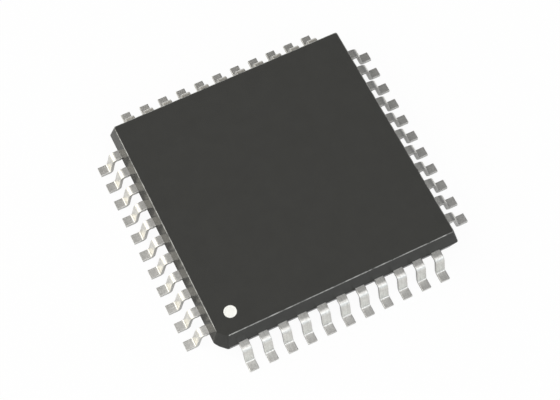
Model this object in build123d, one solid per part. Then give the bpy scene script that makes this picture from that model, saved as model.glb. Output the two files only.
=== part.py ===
from build123d import *
import os
from math import atan2, cos, radians, sin, sqrt, tan

# A 44-lead quad flat package that holds an analog-to-digital converter.
# Millimetres. The board is the plane Z = 0, the package's middle is X = Y = 0, and pin 1 is
# at the -X end of the -Y side. The pins count round from there towards +X, +Y and -X.

# Gull-wing leads, stamped from one strip of copper alloy and plated with tin
leads_per_side = 11
lead_pitch = 0.80
lead_width = 0.37
lead_thickness = 0.127
lead_reach = 0.94
foot_length = 0.33
knee_radius = 0.11
heel_radius = 0.07
leg_angle = 76.0

# Moulded body, drafted both ways from the parting plane that halves the leads' thickness
end_lead_to_side = 1.00
body_above = 0.77
body_below = 0.67
standoff = 0.13
draft_above = 13.0
draft_below = 14.5
top_edge_bevel = 0.035
pin_one_chamfer = 0.39

# White dot beside pin 1, ink that fills a shallow dimple flush with the top face
mark_diameter = 0.49
mark_depth = 0.03
mark_to_left_edge = 0.79
mark_to_front_edge = 0.82

# Fingers, the leads' inner ends: a straight neck, then a taper that fans in to the paddle
finger_neck = 0.30
finger_tip_width = 0.20
finger_to_paddle = 0.30
finger_to_tie_bar = 0.20

# Die paddle, pressed below the leads' plane on four tie bars that stop inside the corners
paddle_width = 5.20
paddle_downset = 0.18
tie_bar_width = 0.25
tie_bar_slope = 40.0
tie_bar_to_corner = 0.57

# Silicon die, and the film of adhesive that holds it on the paddle
die_width = 3.10
die_thickness = 0.28
die_attach_thickness = 0.025
die_attach_margin = 0.08

# Gold wires, square in section: each stands up from its pad at the die's edge, then falls
# straight to a finger, where it is pressed into a wedge
wire_width = 0.03
wire_rise = 0.16
wire_landing = 0.14
pad_to_die_edge = 0.10
pad_row_margin = 0.25

# Levels above the board
body_bottom = standoff
parting_plane = body_bottom + body_below
body_top = parting_plane + body_above
finger_underside = parting_plane - lead_thickness / 2
finger_top = finger_underside + lead_thickness
paddle_underside = finger_underside - paddle_downset
paddle_top = paddle_underside + lead_thickness
die_underside = paddle_top + die_attach_thickness
die_top = die_underside + die_thickness

# Distances outwards from the middle, square to a side
body_half = (leads_per_side - 1) * lead_pitch / 2 + end_lead_to_side
top_half = body_half - body_above * tan(radians(draft_above))
toe = body_half + lead_reach
neck_start = body_half - finger_neck
finger_start = paddle_width / 2 + finger_to_paddle
pad_row = die_width / 2 - pad_to_die_edge

# Spacing of the finger tips and of the die's pads along a side
last_tip_edge = finger_start - sqrt(2) * (tie_bar_width / 2 + finger_to_tie_bar)
finger_pitch = (2 * last_tip_edge - finger_tip_width) / (leads_per_side - 1)
pad_pitch = (die_width - 2 * pad_row_margin) / (leads_per_side - 1)


def from_middle_lead(index):
    """Steps from the middle of a side to the lead with this index, negative before it."""
    return index - (leads_per_side - 1) / 2


def lead_side_view():
    """The strip's side view, from the finger's end to the toe: X outwards, Y up."""
    turn = tan(radians(leg_angle) / 2)
    heel = toe - foot_length - (heel_radius + lead_thickness) * turn
    knee = heel - finger_underside / tan(radians(leg_angle))
    lift = Vector(lead_thickness * turn, lead_thickness)
    inner_end = Vector(finger_start, finger_underside)
    under_knee = Vector(knee, finger_underside)
    under_heel = Vector(heel, 0)
    toe_end = Vector(toe, 0)
    thickness = Vector(0, lead_thickness)
    underside = FilletPolyline(
        inner_end, under_knee, under_heel, toe_end,
        radius=[knee_radius, heel_radius + lead_thickness],
    )
    topside = FilletPolyline(
        inner_end + thickness, under_knee + lift, under_heel + lift, toe_end + thickness,
        radius=[knee_radius + lead_thickness, heel_radius],
    )
    ends = [Line(underside @ 0, topside @ 0), Line(underside @ 1, topside @ 1)]
    return make_face([underside, topside] + ends)


def lead_plan(index):
    """The strip's outline seen from above: X outwards, Y along the side."""
    across = from_middle_lead(index)
    row = across * lead_pitch
    tip = across * finger_pitch
    return make_face(
        Polyline(
            (toe, row - lead_width / 2),
            (toe, row + lead_width / 2),
            (neck_start, row + lead_width / 2),
            (finger_start, tip + finger_tip_width / 2),
            (finger_start, tip - finger_tip_width / 2),
            (neck_start, row - lead_width / 2),
            close=True,
        )
    )


def lead(index):
    """One lead on the +X side: the side view carried across the plan's outline."""
    strip = extrude(Plane.XZ * lead_side_view(), amount=body_half, both=True)
    blank = extrude(lead_plan(index), amount=finger_top)
    return strip & blank


def tie_bar():
    """One bent bar from the paddle's middle towards a corner, along +X."""
    corner = sqrt(2) * body_half
    slope = tan(radians(tie_bar_slope))
    bend = tan(radians(tie_bar_slope) / 2) * lead_thickness
    paddle_corner = paddle_width / sqrt(2)
    rise_start = paddle_corner + bend
    rise_end = rise_start + paddle_downset / slope
    end = corner - tie_bar_to_corner
    side_view = make_face(
        Polyline(
            (0, paddle_underside),
            (rise_start, paddle_underside),
            (rise_end, finger_underside),
            (end, finger_underside),
            (end, finger_top),
            (rise_end - bend, finger_top),
            (rise_start - bend, paddle_top),
            (0, paddle_top),
            close=True,
        )
    )
    return extrude(Plane.XZ * side_view, amount=tie_bar_width / 2, both=True)


def resting(width, thickness, underside):
    """A square plate about the middle, its underside at this level."""
    align = (Align.CENTER, Align.CENTER, Align.MIN)
    return Pos(0, 0, underside) * Box(width, width, thickness, align=align)


def die_paddle():
    """The square paddle with a tie bar towards each corner."""
    paddle = resting(paddle_width, lead_thickness, paddle_underside)
    for corner in range(4):
        paddle += Rot(0, 0, 45 + 90 * corner) * tie_bar()
    return paddle


def wire_side_view(span, drop):
    """A wire's side view: X from its pad towards the finger, Y up from the die's top."""
    half = wire_width / 2
    fall = atan2(wire_rise + drop, span)
    slant = half / cos(fall)
    wedge = half / sin(fall)
    return make_face(
        Polyline(
            (-half, 0),
            (half, 0),
            (half, wire_rise - half * tan(fall) - slant),
            (span - wedge, -drop),
            (span + wedge, -drop),
            (-half, wire_rise + half * tan(fall) + slant),
            close=True,
        )
    )


def bond_wire(index):
    """One wire on the +X side, from its pad to the middle of its tapered finger."""
    across = from_middle_lead(index)
    tip = across * finger_pitch
    fan = (across * lead_pitch - tip) / (neck_start - finger_start)
    pad = Vector(pad_row, across * pad_pitch, die_top)
    finger = Vector(finger_start + wire_landing, tip + fan * wire_landing, die_top)
    along = finger - pad
    upright = Plane(origin=pad, x_dir=along, z_dir=along.cross(Vector(0, 0, 1)))
    side_view = wire_side_view(along.length, die_top - finger_top)
    return extrude(upright * side_view, amount=wire_width / 2, both=True)


def outline_at_parting():
    """The body's outline at the parting plane: a square without its pin 1 corner."""
    side = body_half
    cut = body_half - pin_one_chamfer
    return make_face(
        Polyline((-cut, -side), (side, -side), (side, side), (-side, side), (-side, -cut),
                 close=True)
    )


def body_outside():
    """Both drafted halves, with the top face's edges bevelled."""
    upper = extrude(outline_at_parting(), amount=body_above, taper=draft_above)
    top_edges = upper.faces().sort_by(Axis.Z)[-1].edges()
    upper = chamfer(top_edges, top_edge_bevel)
    lower = extrude(outline_at_parting(), amount=body_below, taper=draft_below)
    return Pos(0, 0, parting_plane) * (upper + mirror(lower, about=Plane.XY))


def pin_one_mark():
    """The ink disc in its dimple, flush with the top face."""
    across = mark_to_left_edge - top_half
    along = mark_to_front_edge - top_half
    align = (Align.CENTER, Align.CENTER, Align.MAX)
    return Pos(across, along, body_top) * Cylinder(mark_diameter / 2, mark_depth, align=align)


def all_round(make):
    """What make(index) draws for the +X side, repeated on the four sides in pin order."""
    one_side = [make(index) for index in range(leads_per_side)]
    return [
        Rot(0, 0, 90 * side - 90) * piece for side in range(4) for piece in one_side
    ]


leads = all_round(lead)
wires = all_round(bond_wire)
paddle = die_paddle()
attach_width = die_width + 2 * die_attach_margin
attach = resting(attach_width, die_attach_thickness, paddle_top)
die = resting(die_width, die_thickness, die_underside)
mark = pin_one_mark()
sealed_in = leads + wires + [paddle, attach, die, mark]
body = body_outside() - sealed_in

nodes = {
    "mould_body": body,
    "pin_one_mark": mark,
    "die_paddle": paddle,
    "die_attach": attach,
    "silicon_die": die,
    "bond_wires": Compound(children=wires),
}
for number, piece in enumerate(leads, start=1):
    nodes[f"lead_{number:02d}"] = piece

os.makedirs("parts", exist_ok=True)
for name, shape in nodes.items():
    export_step(shape, f"parts/{name}.step")
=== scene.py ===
import math

import bmesh
import bpy
from mathutils import Matrix, Vector


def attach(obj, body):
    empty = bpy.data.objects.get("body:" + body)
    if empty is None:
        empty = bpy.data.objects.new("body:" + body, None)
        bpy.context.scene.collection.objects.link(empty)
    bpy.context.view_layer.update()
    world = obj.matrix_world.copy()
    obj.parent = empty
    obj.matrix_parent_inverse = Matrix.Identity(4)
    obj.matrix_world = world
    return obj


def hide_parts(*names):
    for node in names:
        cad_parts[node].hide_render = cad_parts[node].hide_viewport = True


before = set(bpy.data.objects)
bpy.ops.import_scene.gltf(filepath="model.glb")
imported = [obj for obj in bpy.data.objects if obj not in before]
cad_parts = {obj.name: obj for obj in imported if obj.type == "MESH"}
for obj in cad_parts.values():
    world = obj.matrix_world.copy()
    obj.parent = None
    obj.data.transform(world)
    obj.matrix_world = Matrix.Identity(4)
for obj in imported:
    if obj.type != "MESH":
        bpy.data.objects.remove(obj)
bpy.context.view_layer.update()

# The object's sizes are in millimetres until a mesh is finished. The stage's are in metres.
MM = 0.001


# Leads
# 44 gull-wing leads, eleven on each side. Each is a strip of copper alloy, stamped with its
# neighbours from one sheet, plated with matte tin and pressed into a shoulder, a leg and a foot
# after moulding. Its inner end is the finger that a bond wire lands on.
lead_pitch = 0.80
lead_width = 0.37
lead_thickness = 0.127
leads_per_side = 11
toe = 5.94
foot_length = 0.33
knee_radius = 0.11
heel_radius = 0.07
leg_angle = math.radians(76.0)
bend_steps = 12
last_ring_to_toe = 0.12
parting_plane = 0.80
body_half = 5.0
neck_start = 4.70
finger_start = 2.90
finger_pitch = 0.4681
finger_tip_width = 0.20
rolled_edge = 0.008
burred_edge = 0.004
edge_steps = 3
edge_to_flat = 0.030
bar_stub = 0.008
bar_stub_from = 5.045
bar_stub_to = 5.150
bar_stub_ramp = 0.012
streak_shift = 7.3
streak_height = 1.6
streak_scale_along = 0.06
noise_range = (0.3, 0.7)
tin_bright = (0.770, 0.762, 0.732, 1)
tin_dull = (0.605, 0.597, 0.570, 1)
# The sheared sides' tin is darker, partly for the sheared surface and partly as painted shade
tin_sheared_and_shade = (0.52, 0.515, 0.495, 1)
tin_roughness = (0.40, 0.30)
burnished_roughness = 0.24


def rounded(points, radii, steps):
    """The line or ring through these 2-D points, with arcs of these radii at its corners."""
    line = []
    for i, (point, radius) in enumerate(zip(points, radii)):
        corner = Vector(point)
        if radius == 0:
            line.append(corner)
            continue
        before = (Vector(points[i - 1]) - corner).normalized()
        after = (Vector(points[(i + 1) % len(points)]) - corner).normalized()
        half = before.angle(after) / 2
        middle = corner + (before + after).normalized() * radius / math.sin(half)
        start = corner + before * radius / math.tan(half) - middle
        turn = start.angle_signed(corner + after * radius / math.tan(half) - middle)
        for step in range(steps + 1):
            line.append(middle + Matrix.Rotation(-turn * step / steps, 2) @ start)
    return line


def distances(line):
    """How far along the line each of its points is."""
    far = [0.0]
    for a, b in zip(line, line[1:]):
        far.append(far[-1] + (b - a).length)
    return far


def finished_mesh(name, bm, flat=()):
    """A mesh in metres from this bmesh: faces turned outwards, smooth apart from the flat ones."""
    for face in bm.faces:
        face.smooth = True
    for face in flat:
        face.smooth = False
    bmesh.ops.recalc_face_normals(bm, faces=bm.faces)
    bm.transform(Matrix.Scale(MM, 4))
    mesh = bpy.data.meshes.new(name)
    bm.to_mesh(mesh)
    bm.free()
    return mesh


def add_piece(name, mesh, material, slot, *nodes):
    """Makes the object that stands for these CAD nodes."""
    mesh.materials.append(material)
    piece = bpy.data.objects.new(name, mesh)
    bpy.context.scene.collection.objects.link(piece)
    flat = piece.modifiers.new("flats stay flat", "WEIGHTED_NORMAL")
    flat.weight = 100
    flat.keep_sharp = True
    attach(piece, "root")
    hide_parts(*nodes)


def new_group(name, inputs, outputs):
    """An empty shader node group with these named sockets, and its two end nodes."""
    tree = bpy.data.node_groups.new(name, "ShaderNodeTree")
    for label, kind, value in inputs:
        socket = tree.interface.new_socket(label, in_out="INPUT", socket_type=kind)
        if value is not None:
            socket.default_value = value
    for label, kind in outputs:
        tree.interface.new_socket(label, in_out="OUTPUT", socket_type=kind)
    return tree, tree.nodes.new("NodeGroupInput"), tree.nodes.new("NodeGroupOutput")


def feed(tree, node, **inputs):
    """Sets the node's inputs, named by label or by _ and number, or links a socket to them."""
    for key, value in inputs.items():
        label = key.replace("_", " ")
        socket = node.inputs[int(key[1:])] if key[1:].isdigit() else node.inputs[label]
        if isinstance(value, bpy.types.NodeSocket):
            tree.links.new(value, socket)
        else:
            socket.default_value = value


def add_node(tree, kind, settings=None, **inputs):
    """A node with these settings and inputs."""
    node = tree.nodes.new(kind)
    for key, value in (settings or {}).items():
        setattr(node, key, value)
    feed(tree, node, **inputs)
    return node


def add_group(tree, group, **inputs):
    """The outputs of one use of a shared node group."""
    return add_node(tree, "ShaderNodeGroup", {"node_tree": group}, **inputs).outputs


def add_math(tree, operation, *values):
    """What this operation makes of these values."""
    inputs = {f"_{i}": value for i, value in enumerate(values)}
    return add_node(tree, "ShaderNodeMath", {"operation": operation}, **inputs).outputs[0]


def add_range(tree, value, start, end, first=0.0, last=1.0, kind="LINEAR"):
    """The value, carried from the range start to end over to the range first to last."""
    return add_node(
        tree, "ShaderNodeMapRange", {"interpolation_type": kind},
        Value=value, _1=start, _2=end, _3=first, _4=last,
    ).outputs["Result"]


def mix_colours(tree, share, first, second, blend="MIX"):
    """The first colour, with this share of the second."""
    return add_node(
        tree, "ShaderNodeMix", {"data_type": "RGBA", "blend_type": blend},
        _0=share, _6=first, _7=second,
    ).outputs[2]


def mix_values(tree, share, first, second):
    """The first value, with this share of the second."""
    return add_node(
        tree, "ShaderNodeMix", {"data_type": "FLOAT"}, _0=share, _2=first, _3=second
    ).outputs[0]


def add_bump(tree, height, depth):
    """The normals of a relief with this height, which is this deep in millimetres."""
    return add_node(
        tree, "ShaderNodeBump", Strength=1.0, Distance=depth * MM, Height=height
    ).outputs[0]


def place_in_mm(tree):
    """The place on the object."""
    place = add_node(tree, "ShaderNodeTexCoord").outputs["Object"]
    return add_node(
        tree, "ShaderNodeVectorMath", {"operation": "SCALE"}, _0=place, Scale=1 / MM
    ).outputs[0]


def mask(tree, name):
    """The mask with this name, which the mesh carries."""
    return add_node(tree, "ShaderNodeAttribute", {"attribute_name": name}).outputs["Fac"]


def new_material(name):
    """A material, its tree and its Principled BSDF."""
    material = bpy.data.materials.new(name)
    material.use_nodes = True
    return material, material.node_tree, material.node_tree.nodes["Principled BSDF"]


def grain_group():
    """Fine even grain, such as a spark-eroded mould or plated crystals leave."""
    tree, given, result = new_group(
        "Fine grain",
        [("Grains per mm", "NodeSocketFloat", 40.0), ("Unevenness", "NodeSocketFloat", 0.5)],
        [("Height", "NodeSocketFloat"), ("Tone", "NodeSocketFloat")],
    )
    in_mm = place_in_mm(tree)
    fine = add_node(
        tree, "ShaderNodeTexNoise", Vector=in_mm, Scale=given.outputs["Grains per mm"],
        Detail=2.0, Roughness=given.outputs["Unevenness"],
    )
    broad = add_node(
        tree, "ShaderNodeTexNoise", Vector=in_mm, Scale=1.3, Detail=4.0, Roughness=0.6
    )
    feed(tree, result, Height=fine.outputs["Fac"], Tone=broad.outputs["Fac"])
    return tree


def streak_group():
    """Fine lines along a strip, from rolling and from the bending tool."""
    tree, given, result = new_group(
        "Rolled streaks",
        [("Place", "NodeSocketVector", None), ("Lines per mm", "NodeSocketFloat", 18.0)],
        [("Height", "NodeSocketFloat")],
    )
    along = add_node(
        tree, "ShaderNodeVectorMath", {"operation": "MULTIPLY"},
        _0=given.outputs["Place"], _1=(streak_scale_along, 1.0, 1.0),
    ).outputs[0]
    lines = add_node(
        tree, "ShaderNodeTexNoise", Vector=along, Scale=given.outputs["Lines per mm"],
        Detail=3.0, Roughness=0.65,
    )
    feed(tree, result, Height=lines.outputs["Fac"])
    return tree


def wear_group():
    """Where handling has rubbed an edge, broken up along its length."""
    tree, given, result = new_group(
        "Edge wear",
        [("Edge", "NodeSocketFloat", 0.0), ("Breaks per mm", "NodeSocketFloat", 4.0)],
        [("Worn", "NodeSocketFloat")],
    )
    breaks = add_node(
        tree, "ShaderNodeTexNoise", Vector=place_in_mm(tree),
        Scale=given.outputs["Breaks per mm"], Detail=5.0, Roughness=0.7,
    )
    near = add_math(tree, "MULTIPLY", breaks.outputs["Fac"], given.outputs["Edge"])
    feed(tree, result, Worn=add_range(tree, near, 0.25, 0.65, kind="SMOOTHSTEP"))
    return tree


fine_grain = grain_group()
rolled_streaks = streak_group()
edge_wear = wear_group()


def tin_material():
    """Satin matte tin: crystals, rolling lines under them, and edges burnished bright."""
    material, tree, shader = new_material("tin_plating")
    strip = add_node(tree, "ShaderNodeUVMap", {"uv_map": "strip"}).outputs["UV"]
    grain = add_group(tree, fine_grain, Grains_per_mm=90.0, Unevenness=0.7)
    mottle = add_group(tree, fine_grain, Grains_per_mm=14.0, Unevenness=0.6)["Height"]
    lines = add_group(tree, rolled_streaks, Place=strip, Lines_per_mm=14.0)["Height"]
    worn = add_group(tree, edge_wear, Edge=mask(tree, "edge"), Breaks_per_mm=9.0)["Worn"]
    patches = add_math(tree, "ADD", mottle, lines)
    shade = add_range(tree, patches, 0.75, 1.25)
    rolled = mix_colours(tree, shade, tin_dull, tin_bright)
    # Darker sheared sides: partly the sheared surface, partly painted shade on the leads' sides
    colour = mix_colours(tree, mask(tree, "sheared"), rolled, tin_sheared_and_shade)
    satin = add_range(tree, patches, 0.6, 1.4, *tin_roughness)
    gloss = mix_values(tree, worn, satin, burnished_roughness)
    relief = add_math(tree, "MULTIPLY_ADD", lines, streak_height, grain["Height"])
    bump = add_bump(tree, relief, depth=0.0015)
    feed(tree, shader, Base_Color=colour, Roughness=gloss, Normal=bump, Metallic=1.0)
    return material


def lead_stations():
    """The middle of the strip from the finger's end to the toe: place outwards, and height."""
    half = lead_thickness / 2
    turn = math.tan(leg_angle / 2)
    shift = half * turn
    heel = toe - foot_length - (heel_radius + lead_thickness) * turn
    knee = heel - (parting_plane - half) / math.tan(leg_angle)
    shoulder = [
        finger_start, neck_start, body_half, bar_stub_from, bar_stub_from + bar_stub_ramp,
        bar_stub_to - bar_stub_ramp, bar_stub_to, knee + shift,
    ]
    foot = [heel + shift, toe - last_ring_to_toe, toe]
    line = [(x, parting_plane) for x in shoulder] + [(x, half) for x in foot]
    return rounded(line, [0] * 7 + [knee_radius + half, heel_radius + half, 0, 0], bend_steps)


def section(width):
    """The strip's section, rounded above where the punch went in and nearly sharp below.

    Each point has two masks: 1 on the rounded edges, and 1 on the sheared sides.
    """
    w, t = width / 2, lead_thickness / 2
    inner = w - edge_to_flat
    arcs = rounded(
        [(-w, -t), (w, -t), (w, t), (-w, t)],
        [burred_edge, burred_edge, rolled_edge, rolled_edge], edge_steps,
    )
    leaves_side = [1] + [0] * edge_steps
    reaches_side = [0] * edge_steps + [1]
    between = [
        (leaves_side, [(-inner, -t), (inner, -t)], 0), (reaches_side, [(w, 0)], 1),
        (leaves_side, [(inner, t), (-inner, t)], 0), (reaches_side, [(-w, 0)], 1),
    ]
    points = []
    for sheared_arc, flat, sheared in between:
        points += [(arcs.pop(0), 1, on_side) for on_side in sheared_arc]
        points += [(Vector(point), 0, sheared) for point in flat]
    return points


def lead_mesh(number):
    """One lead, swept along its stations on the +X side and turned to its own side."""
    side, index = divmod(number - 1, leads_per_side)
    across = index - (leads_per_side - 1) / 2
    row, tip = across * lead_pitch, across * finger_pitch
    stations = lead_stations()
    bm = bmesh.new()
    edge_layer = bm.verts.layers.float.new("edge")
    sheared_layer = bm.verts.layers.float.new("sheared")
    uv = bm.loops.layers.uv.new("strip")
    rings = []
    for i, place in enumerate(stations):
        ahead = stations[min(i + 1, len(stations) - 1)] - place
        behind = place - stations[max(i - 1, 0)]
        direction = (ahead.normalized() + behind.normalized()).normalized()
        lift = Vector((-direction.y, direction.x))
        fan = min(max((neck_start - place.x) / (neck_start - finger_start), 0), 1)
        width = lead_width + (finger_tip_width - lead_width) * fan
        if bar_stub_from + bar_stub_ramp / 2 < place.x < bar_stub_to - bar_stub_ramp / 2:
            width += 2 * bar_stub
        centre = row + (tip - row) * fan
        ring = []
        for point, edge, sheared in section(width):
            spot = place + lift * point.y
            vert = bm.verts.new((spot.x, centre + point.x, spot.y))
            vert[edge_layer] = edge
            vert[sheared_layer] = sheared
            ring.append(vert)
        rings.append(ring)
    outline = [point for point, _, _ in section(lead_width)]
    along = [far + streak_shift * number for far in distances(stations)]
    around = distances(outline + outline[:1])
    for i, (first, second) in enumerate(zip(rings, rings[1:])):
        for j in range(len(first)):
            k = (j + 1) % len(first)
            face = bm.faces.new((first[j], second[j], second[k], first[k]))
            corners = [(i, j), (i + 1, j), (i + 1, j + 1), (i, j + 1)]
            for loop, (a, b) in zip(face.loops, corners):
                loop[uv].uv = (along[a], around[b])
    for i in (0, -1):
        face = bm.faces.new(rings[i])
        for edge in face.edges:
            edge.smooth = False
        for loop, spot in zip(face.loops, outline):
            loop[uv].uv = (along[i], spot.x)
    bm.transform(Matrix.Rotation(math.radians(90 * side - 90), 4, "Z"))
    return finished_mesh(f"tinned_lead_{number:02d}", bm)


tin_plating = tin_material()
for number in range(1, 4 * leads_per_side + 1):
    add_piece(f"tinned_lead_{number:02d}", lead_mesh(number), tin_plating, "tin_plating",
              f"lead_{number:02d}")


# Die paddle
# The square plate in the middle of the lead frame, pressed down on four tie bars. It is rolled
# copper alloy from the same sheet as the leads, left bare, and it is sealed in the body.
copper_browned = (0.58, 0.31, 0.20, 1)
copper_bright = (0.80, 0.52, 0.36, 1)
copper_roughness = (0.42, 0.28)


def copper_material():
    """Bare rolled copper alloy, browned a little by the heat of moulding."""
    material, tree, shader = new_material("copper_alloy")
    tone = add_group(tree, fine_grain, Grains_per_mm=60.0, Unevenness=0.6)["Tone"]
    lines = add_group(
        tree, rolled_streaks, Place=place_in_mm(tree), Lines_per_mm=14.0
    )["Height"]
    colour = mix_colours(tree, tone, copper_browned, copper_bright)
    gloss = add_range(tree, lines, *noise_range, *copper_roughness)
    bump = add_bump(tree, lines, depth=0.002)
    feed(tree, shader, Base_Color=colour, Roughness=gloss, Normal=bump, Metallic=1.0)
    return material


def dress(node, material):
    """Gives a CAD node this material in place of its plain one."""
    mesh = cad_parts[node].data
    mesh.materials.clear()
    mesh.materials.append(material)


dress("die_paddle", copper_material())


# Die attach
# The film of silver-filled epoxy that was dispensed on the paddle and cured under the die. It
# squeezes out a little all round, and the flakes of silver in it make it glint.
epoxy_grey = (0.42, 0.42, 0.42, 1)
silver_flake = (0.66, 0.66, 0.68, 1)
epoxy_roughness = 0.45


def adhesive_material():
    """Cured epoxy, pale grey, with flakes."""
    material, tree, shader = new_material("die_adhesive")
    height = add_group(tree, fine_grain, Grains_per_mm=70.0, Unevenness=0.8)["Height"]
    flakes = add_range(tree, height, 0.5, 0.62)
    colour = mix_colours(tree, flakes, epoxy_grey, silver_flake)
    bump = add_bump(tree, height, depth=0.003)
    feed(tree, shader, Base_Color=colour, Metallic=flakes, Normal=bump,
         Roughness=epoxy_roughness)
    return material


dress("die_attach", adhesive_material())


# Silicon die
# The converter itself, sawn from a wafer. Its top is under a clear protective layer over the
# metal lines of the circuit, and its sides have the marks of the saw.
silicon_blue = (0.16, 0.18, 0.25, 1)
circuit_metal = (0.45, 0.43, 0.36, 1)
block_share = 0.25
silicon_roughness = (0.12, 0.2)
silicon_metallic = 0.6


def silicon_material():
    """Polished silicon under a clear layer, with blocks of fine circuit lines."""
    material, tree, shader = new_material("silicon")
    in_mm = place_in_mm(tree)
    blocks = add_node(
        tree, "ShaderNodeTexVoronoi", {"distance": "CHEBYCHEV"}, Vector=in_mm, Scale=2.4
    ).outputs["Color"]
    lines = add_node(
        tree, "ShaderNodeTexBrick", Vector=in_mm, Scale=9.0, Mortar_Size=0.03
    ).outputs["Fac"]
    tone = add_group(tree, fine_grain, Grains_per_mm=50.0, Unevenness=0.4)["Tone"]
    tint = mix_colours(tree, lines, silicon_blue, circuit_metal)
    colour = mix_colours(tree, block_share, tint, blocks, "MULTIPLY")
    gloss = add_range(tree, tone, *noise_range, *silicon_roughness)
    bump = add_bump(tree, lines, depth=0.0006)
    feed(tree, shader, Base_Color=colour, Roughness=gloss, Normal=bump,
         Metallic=silicon_metallic)
    return material


dress("silicon_die", silicon_material())


# Bond wires
# 44 gold wires, each welded to a pad at the die's edge and drawn over to the finger of its own
# lead, where it is pressed flat.
gold_deep = (0.78, 0.52, 0.16, 1)
gold_bright = (0.90, 0.70, 0.30, 1)
gold_roughness = (0.18, 0.3)


def gold_material():
    """Drawn gold, soft and a little uneven."""
    material, tree, shader = new_material("gold_wire")
    grain = add_group(tree, fine_grain, Grains_per_mm=80.0, Unevenness=0.5)
    colour = mix_colours(tree, grain["Tone"], gold_deep, gold_bright)
    gloss = add_range(tree, grain["Height"], *noise_range, *gold_roughness)
    bump = add_bump(tree, grain["Height"], depth=0.0008)
    feed(tree, shader, Base_Color=colour, Roughness=gloss, Normal=bump, Metallic=1.0)
    return material


dress("bond_wires", gold_material())


# Body
# One block of black epoxy mould compound, pressed round the lead frame in a two-part mould, so
# its sides slope both ways from the parting line. The mould is spark-eroded, finely on the
# sides and coarser on the top. Resin went in at the pin 1 corner, which is cut off.
body_bottom = 0.13
body_top = 1.57
draft_above = math.radians(13.0)
draft_below = math.radians(14.5)
top_bevel = 0.021
top_bevel_round = 0.006
bottom_round = 0.05
corner_cut = 0.39
corner_round = 0.08
gate_round = 0.16
corner_steps = 5
ridge_inset = 0.006
ridge_half_height = 0.012
ridge_to_flank = 0.06
ridge_root_round = 0.02
ridge_tip_round = 0.003
ridge_wear = 0.5
bevel_to_flank = 0.014
bottom_to_flank = 0.08
top_rings = (0.02, 0.12)
bottom_rings = (0.30, 0.06)
mark_x = -4.032
mark_y = -4.002
mark_radius = 0.245
mark_depth = 0.03
ejector_radius = 0.50
ejector_depth = 0.025
ejector_place = 3.35
hollow_draft = 0.006
hollow_round = 0.02
hollow_wall_share = 0.8
circle_points = 48
compound_colour = (0.0450, 0.0450, 0.0427, 1)
compound_pale = (0.0485, 0.0485, 0.0460, 1)
# Pale edge colour: partly rubbed resin, partly a painted highlight along the body's edges
compound_rubbed_and_highlight = (0.36, 0.36, 0.345, 1)
side_to_top = (0.85, 0.95)
side_roughness = 0.14
top_roughness = 0.62
roughness_drift = 0.05
side_relief = 0.1
worn_roughness = 0.15
compound_specular = 0.10


def compound_material():
    """Silica-filled epoxy: eroded grain on top, smooth resin-rich sides, and rubbed edges painted
    pale, partly as a painted highlight.
    """
    material, tree, shader = new_material("mould_compound")
    facing = add_node(tree, "ShaderNodeTexCoord").outputs["Normal"]
    upwards = add_node(tree, "ShaderNodeSeparateXYZ", Vector=facing).outputs["Z"]
    level = add_math(tree, "ABSOLUTE", upwards)
    eroded = add_range(tree, level, *side_to_top)
    matte = add_math(tree, "MAXIMUM", eroded, mask(tree, "gate"))
    grain = add_group(tree, fine_grain, Grains_per_mm=28.0, Unevenness=0.6)
    worn = add_group(tree, edge_wear, Edge=mask(tree, "edge"), Breaks_per_mm=3.0)["Worn"]
    shade = add_range(tree, grain["Tone"], *noise_range)
    tone = mix_colours(tree, shade, compound_colour, compound_pale)
    # The pale edges are partly wear and partly a painted highlight along the top and bottom edges
    # and the parting line
    colour = mix_colours(tree, worn, tone, compound_rubbed_and_highlight)
    gloss = mix_values(tree, matte, side_roughness, top_roughness)
    uneven = add_math(tree, "MULTIPLY_ADD", shade, roughness_drift, gloss)
    relief = mix_values(tree, matte, side_relief, 1.0)
    height = add_math(tree, "MULTIPLY", grain["Height"], relief)
    bump = add_bump(tree, height, depth=0.006)
    feed(tree, shader, Base_Color=colour, Roughness=uneven, Coat_Weight=worn, Normal=bump,
         Coat_Roughness=worn_roughness, Specular_IOR_Level=compound_specular)
    return material


def body_outline(inset):
    """The body's outline, moved in by inset: a square without its pin 1 corner."""
    side = body_half - inset
    cut = body_half - corner_cut - inset * (math.sqrt(2) - 1)
    corners = [(-cut, -side), (side, -side), (side, side), (-side, side), (-side, -cut)]
    radii = [gate_round, corner_round, corner_round, corner_round, gate_round]
    return rounded(corners, radii, corner_steps)


def on_flank(height):
    """Inset and level of the flank at this height over the parting plane, negative below it."""
    draft = draft_above if height > 0 else draft_below
    return abs(height) * math.tan(draft), parting_plane + height


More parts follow.
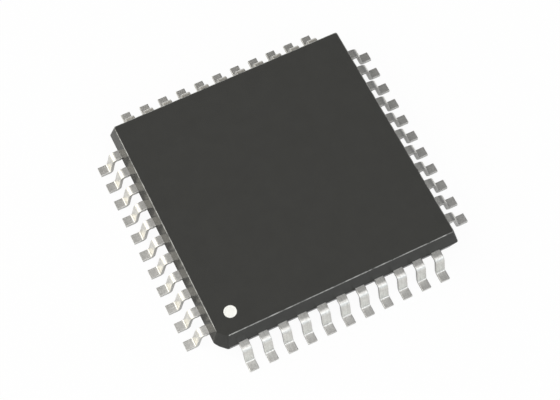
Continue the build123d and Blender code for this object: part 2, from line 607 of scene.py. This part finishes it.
def body_profile():
    """Inset, level and wear of the rings that make the body, from the underside to the top; the
    wear also places the painted edge highlight.
    """
    bottom, top = body_bottom - parting_plane, body_top - parting_plane
    sole, rim = on_flank(bottom)[0], on_flank(top)[0] + top_bevel
    brow = top - top_bevel * math.cos(draft_above)
    under_ridge, over_ridge = on_flank(-ridge_to_flank), on_flank(ridge_to_flank)
    under_bevel = on_flank(brow - bevel_to_flank)
    underside = [(sole + inset, body_bottom) for inset in bottom_rings]
    topside = [(rim + inset, body_top) for inset in top_rings]
    lower_edge = rounded(
        [underside[-1], (sole, body_bottom), under_ridge], [0, bottom_round, 0], steps=4
    )
    ridge = rounded(
        [under_ridge, (ridge_inset, parting_plane - ridge_half_height), (0, parting_plane),
         (ridge_inset, parting_plane + ridge_half_height), over_ridge],
        [0, ridge_root_round, ridge_tip_round, ridge_root_round, 0], steps=3,
    )
    bevel = rounded(
        [under_bevel, on_flank(brow), (rim, body_top), topside[-1]],
        [0, top_bevel_round, top_bevel_round, 0], steps=3,
    )
    stretches = [
        (underside, 0), (lower_edge[1:-1], 1), ([on_flank(bottom + bottom_to_flank)], 0),
        ([under_ridge], 0), (ridge[1:-1], ridge_wear), ([over_ridge], 0),
        ([under_bevel], 0), (bevel[1:-1], 1), (topside, 0),
    ]
    return [(inset, level, wear) for points, wear in stretches for inset, level in points]


def ring_of(bm, points, level, layers, wear=0, gated=()):
    """Vertices round these points, with their wear, and 1 for those that the gate left matte."""
    ring = [bm.verts.new((x, y, level)) for x, y in points]
    for i, vert in enumerate(ring):
        vert[layers["edge"]] = 0 if i in gated else wear
        vert[layers["gate"]] = 1 if i in gated else 0
    return ring


def skin(bm, rings):
    """Quads between rings that have the same number of points."""
    for first, second in zip(rings, rings[1:]):
        for j in range(len(first)):
            bm.faces.new((first[j - 1], first[j], second[j], second[j - 1]))


def ring_edges(bm, ring):
    """The edges that join a ring's vertices."""
    return [bm.edges.get((ring[i - 1], ring[i])) for i in range(len(ring))]


def circle(x, y, radius):
    """Points round a circle, anticlockwise."""
    turns = [math.tau * i / circle_points for i in range(circle_points)]
    return [(x + radius * math.cos(turn), y + radius * math.sin(turn)) for turn in turns]


def hollow(bm, x, y, radius, level, depth, layers):
    """A shallow round recess, upwards if depth is positive, and the edges of its rim."""
    steps = [(0, 0), (hollow_draft, hollow_wall_share), (hollow_round, 1)]
    rings = [
        ring_of(bm, circle(x, y, radius - inset), level + depth * share, layers)
        for inset, share in steps
    ]
    skin(bm, rings)
    bm.faces.new(rings[-1])
    edges = ring_edges(bm, rings[0])
    for edge in edges:
        edge.smooth = False
    return edges


def body_mesh():
    """The body's skin, with ejector marks below and the dimple for the ink above."""
    bm = bmesh.new()
    layers = {name: bm.verts.layers.float.new(name) for name in ("edge", "gate")}
    # The outline starts and ends at the two corners that the gate's cut makes
    outline_points = 5 * (corner_steps + 1)
    at_gate = [*range(corner_steps), *range(outline_points - corner_steps, outline_points)]
    rings = [
        ring_of(bm, body_outline(inset), level, layers, wear, at_gate)
        for inset, level, wear in body_profile()
    ]
    skin(bm, rings)
    ejectors = [
        (x, y, ejector_radius, body_bottom, ejector_depth, layers)
        for x in (-ejector_place, ejector_place) for y in (-ejector_place, ejector_place)
    ]
    dimple = (mark_x, mark_y, mark_radius, body_top, -mark_depth, layers)
    plates = []
    for ring, hollows in ((rings[0], ejectors), (rings[-1], [dimple])):
        edges = ring_edges(bm, ring)
        for sizes in hollows:
            edges += hollow(bm, *sizes)
        filled = bmesh.ops.triangle_fill(bm, use_beauty=True, edges=edges)["geom"]
        plates += [item for item in filled if isinstance(item, bmesh.types.BMFace)]
    return finished_mesh("moulded_body", bm, flat=plates)


add_piece("moulded_body", body_mesh(), compound_material(), "mould_compound", "mould_body")


# Pin 1 mark
# White ink that fills the shallow dimple beside pin 1. It was put on wet, so it is a little
# dished, with a rounded rim.
ink_white = (0.955, 0.955, 0.915, 1)
ink_grey = (0.93, 0.93, 0.89, 1)
ink_roughness = (0.3, 0.45)
ink_foot = 0.004
ink_middle = 0.04


def ink_material():
    """White epoxy ink, thinner in places."""
    material, tree, shader = new_material("white_ink")
    grain = add_group(tree, fine_grain, Grains_per_mm=30.0, Unevenness=0.5)
    thin = add_range(tree, grain["Height"], 0.35, 0.7)
    colour = mix_colours(tree, thin, ink_white, ink_grey)
    gloss = add_range(tree, grain["Tone"], *noise_range, *ink_roughness)
    bump = add_bump(tree, grain["Height"], depth=0.002)
    feed(tree, shader, Base_Color=colour, Roughness=gloss, Normal=bump)
    return material


def ink_mesh():
    """The disc of ink, as rings from under its edge up over the rim and in to the middle."""
    in_down_and_rounding = [
        (0.02, mark_depth, 0), (0, mark_depth - ink_foot, 0.002), (0, 0, 0.003),
        (0.05, 0.001, 0.012), (0.07, 0.010, 0.006), (0.09, 0.005, 0.012),
        (mark_radius - ink_middle, 0.004, 0),
    ]
    profile = rounded(
        [(mark_radius - inset, body_top - down) for inset, down, _ in in_down_and_rounding],
        [rounding for _, _, rounding in in_down_and_rounding], steps=3,
    )
    bm = bmesh.new()
    rings = [
        [bm.verts.new((x, y, level)) for x, y in circle(mark_x, mark_y, radius)]
        for radius, level in profile
    ]
    skin(bm, rings)
    bm.faces.new(rings[0])
    bm.faces.new(rings[-1])
    return finished_mesh("ink_dot", bm)


add_piece("ink_dot", ink_mesh(), ink_material(), "white_ink", "pin_one_mark")


# Floor, light and camera
# A white table top that the feet stand on, softboxes in a grey room, and the camera where the
# photograph was taken from.
floor_half = 1.2
floor_level = -0.000002
room_grey = (0.098, 0.098, 0.098, 1)
floor_pale = (0.87, 0.87, 0.87, 1)
floor_paler = (0.89, 0.89, 0.89, 1)
white = (1, 1, 1, 1)
white_to_camera = 0.95
white_to_mirrors = 0.28
backdrop_fade = (0.12, 0.26)
camera_target = Vector((-0.2800, -0.4750, 0.80)) * MM
camera_azimuth = math.radians(-26.002)
camera_elevation = math.radians(65.148)
camera_roll = math.radians(-0.206)
camera_distance = 55.979 * MM
camera_focal_in_widths = 1464.84 / 560


def background_share(tree):
    """How much of the plain white a ray sees: camera rays most of it, mirrored rays some."""
    ray = add_node(tree, "ShaderNodeLightPath").outputs
    mirrored = add_math(tree, "MAXIMUM", ray["Is Glossy Ray"], ray["Is Transmission Ray"])
    seen = add_math(tree, "MULTIPLY", ray["Is Camera Ray"], white_to_camera)
    return add_math(tree, "MULTIPLY_ADD", mirrored, white_to_mirrors, seen)


def floor_material():
    """Matte white, which turns to plain white where it is the picture's background."""
    material, tree, shader = new_material("floor")
    pale = add_node(
        tree, "ShaderNodeTexNoise", Vector=place_in_mm(tree), Scale=0.02, Detail=2.0
    ).outputs["Fac"]
    colour = mix_colours(tree, pale, floor_pale, floor_paler)
    feed(tree, shader, Base_Color=colour, Roughness=0.9, Specular_IOR_Level=0.0)
    glow = add_node(tree, "ShaderNodeEmission", Color=white, Strength=1.0).outputs[0]
    mix = add_node(
        tree, "ShaderNodeMixShader", _0=background_share(tree), _1=shader.outputs[0], _2=glow
    ).outputs[0]
    feed(tree, tree.nodes["Material Output"], Surface=mix)
    return material


bm = bmesh.new()
bmesh.ops.create_grid(bm, x_segments=4, y_segments=4, size=floor_half)
bmesh.ops.translate(bm, verts=bm.verts, vec=(0, 0, floor_level))
floor_mesh = bpy.data.meshes.new("floor")
bm.to_mesh(floor_mesh)
bm.free()
floor_mesh.materials.append(floor_material())
floor = bpy.data.objects.new("floor", floor_mesh)
bpy.context.scene.collection.objects.link(floor)


def softbox(name, place, facing, width, height, radiance, tint=(1, 1, 1), turn=0.0):
    """A flat lamp that looks this bright from the side it faces."""
    lamp = bpy.data.lights.new(name, "AREA")
    lamp.shape = "RECTANGLE"
    lamp.size, lamp.size_y = width, height
    lamp.energy = radiance * math.pi * width * height
    lamp.color = tint
    box = bpy.data.objects.new(name, lamp)
    bpy.context.scene.collection.objects.link(box)
    box.matrix_world = (
        Matrix.Translation(place)
        @ Vector(facing).to_track_quat("-Z", "Y").to_matrix().to_4x4()
        @ Matrix.Rotation(math.radians(turn), 4, "Z")
    )
    box.visible_camera = False


# Each lamp's place, the way it faces, its width, height and radiance, and its tint or turn
warm = (1.0, 0.965, 0.86)
cool = (0.91, 0.96, 1.0)
amber = (1.0, 0.94, 0.82)
softbox("overhead_softbox", (-0.292, -0.247, 0.50), (0, 0, -1), 0.80, 0.80, 1.38, turn=47)
softbox("overhead_strip", (0.035, 0.108, 0.50), (0, 0, -1), 0.12, 0.80, 0.92, turn=47)
softbox("left_high_softbox", (-0.273, 0.188, 0.374), (0.55, -0.38, -0.75), 0.30, 0.20, 1.08, warm)
softbox("left_softbox", (-0.400, 0.150, 0.260), (0.80, -0.30, -0.52), 0.60, 0.28, 0.98, warm)
softbox("left_low_softbox", (-0.476, 0.125, 0.090), (0.95, -0.25, -0.18), 0.70, 0.20, 0.50, warm)
softbox("left_back_softbox", (-0.300, 0.330, 0.225), (0.60, -0.66, -0.45), 0.44, 0.36, 0.95, warm)
softbox("left_strip", (-0.379, 0.170, 0.173), (0.842, -0.377, -0.385), 0.26, 0.06, 1.60)
softbox("front_softbox", (0.095, -0.368, 0.318), (-0.19, 0.74, -0.64), 0.60, 0.20, 1.54, cool)
softbox("front_low_softbox", (0.095, -0.475, 0.125), (-0.19, 0.95, -0.25), 0.70, 0.20, 0.90, cool)
softbox("right_softbox", (0.400, 0.185, 0.260), (-0.78, -0.36, -0.51), 0.40, 0.40, 0.15, cool)
softbox("back_softbox", (-0.050, 0.430, 0.250), (0.10, -0.86, -0.50), 0.44, 0.28, 0.42, amber)

world = bpy.data.worlds.new("grey_room")
bpy.context.scene.world = world
world.use_nodes = True
tree = world.node_tree
direction = add_node(tree, "ShaderNodeTexCoord").outputs["Generated"]
height = add_node(tree, "ShaderNodeSeparateXYZ", Vector=direction).outputs["Z"]
low = add_range(tree, height, *backdrop_fade, 1.0, 0.0)
share = add_math(tree, "MULTIPLY", background_share(tree), low)
feed(tree, tree.nodes["Background"], Color=mix_colours(tree, share, room_grey, white))

camera_data = bpy.data.cameras.new("camera")
camera_data.lens = camera_data.sensor_width * camera_focal_in_widths
camera_data.clip_start = 0.001
camera_data.clip_end = 10.0
camera = bpy.data.objects.new("camera", camera_data)
bpy.context.scene.collection.objects.link(camera)
back = Vector((
    math.sin(camera_azimuth) * math.cos(camera_elevation),
    -math.cos(camera_azimuth) * math.cos(camera_elevation),
    math.sin(camera_elevation),
))
camera.matrix_world = (
    Matrix.Translation(camera_target + back * camera_distance)
    @ Matrix.Rotation(camera_azimuth, 4, "Z")
    @ Matrix.Rotation(math.pi / 2 - camera_elevation, 4, "X")
    @ Matrix.Rotation(camera_roll, 4, "Z")
)
bpy.context.scene.camera = camera
bpy.context.scene.view_settings.view_transform = "Standard"
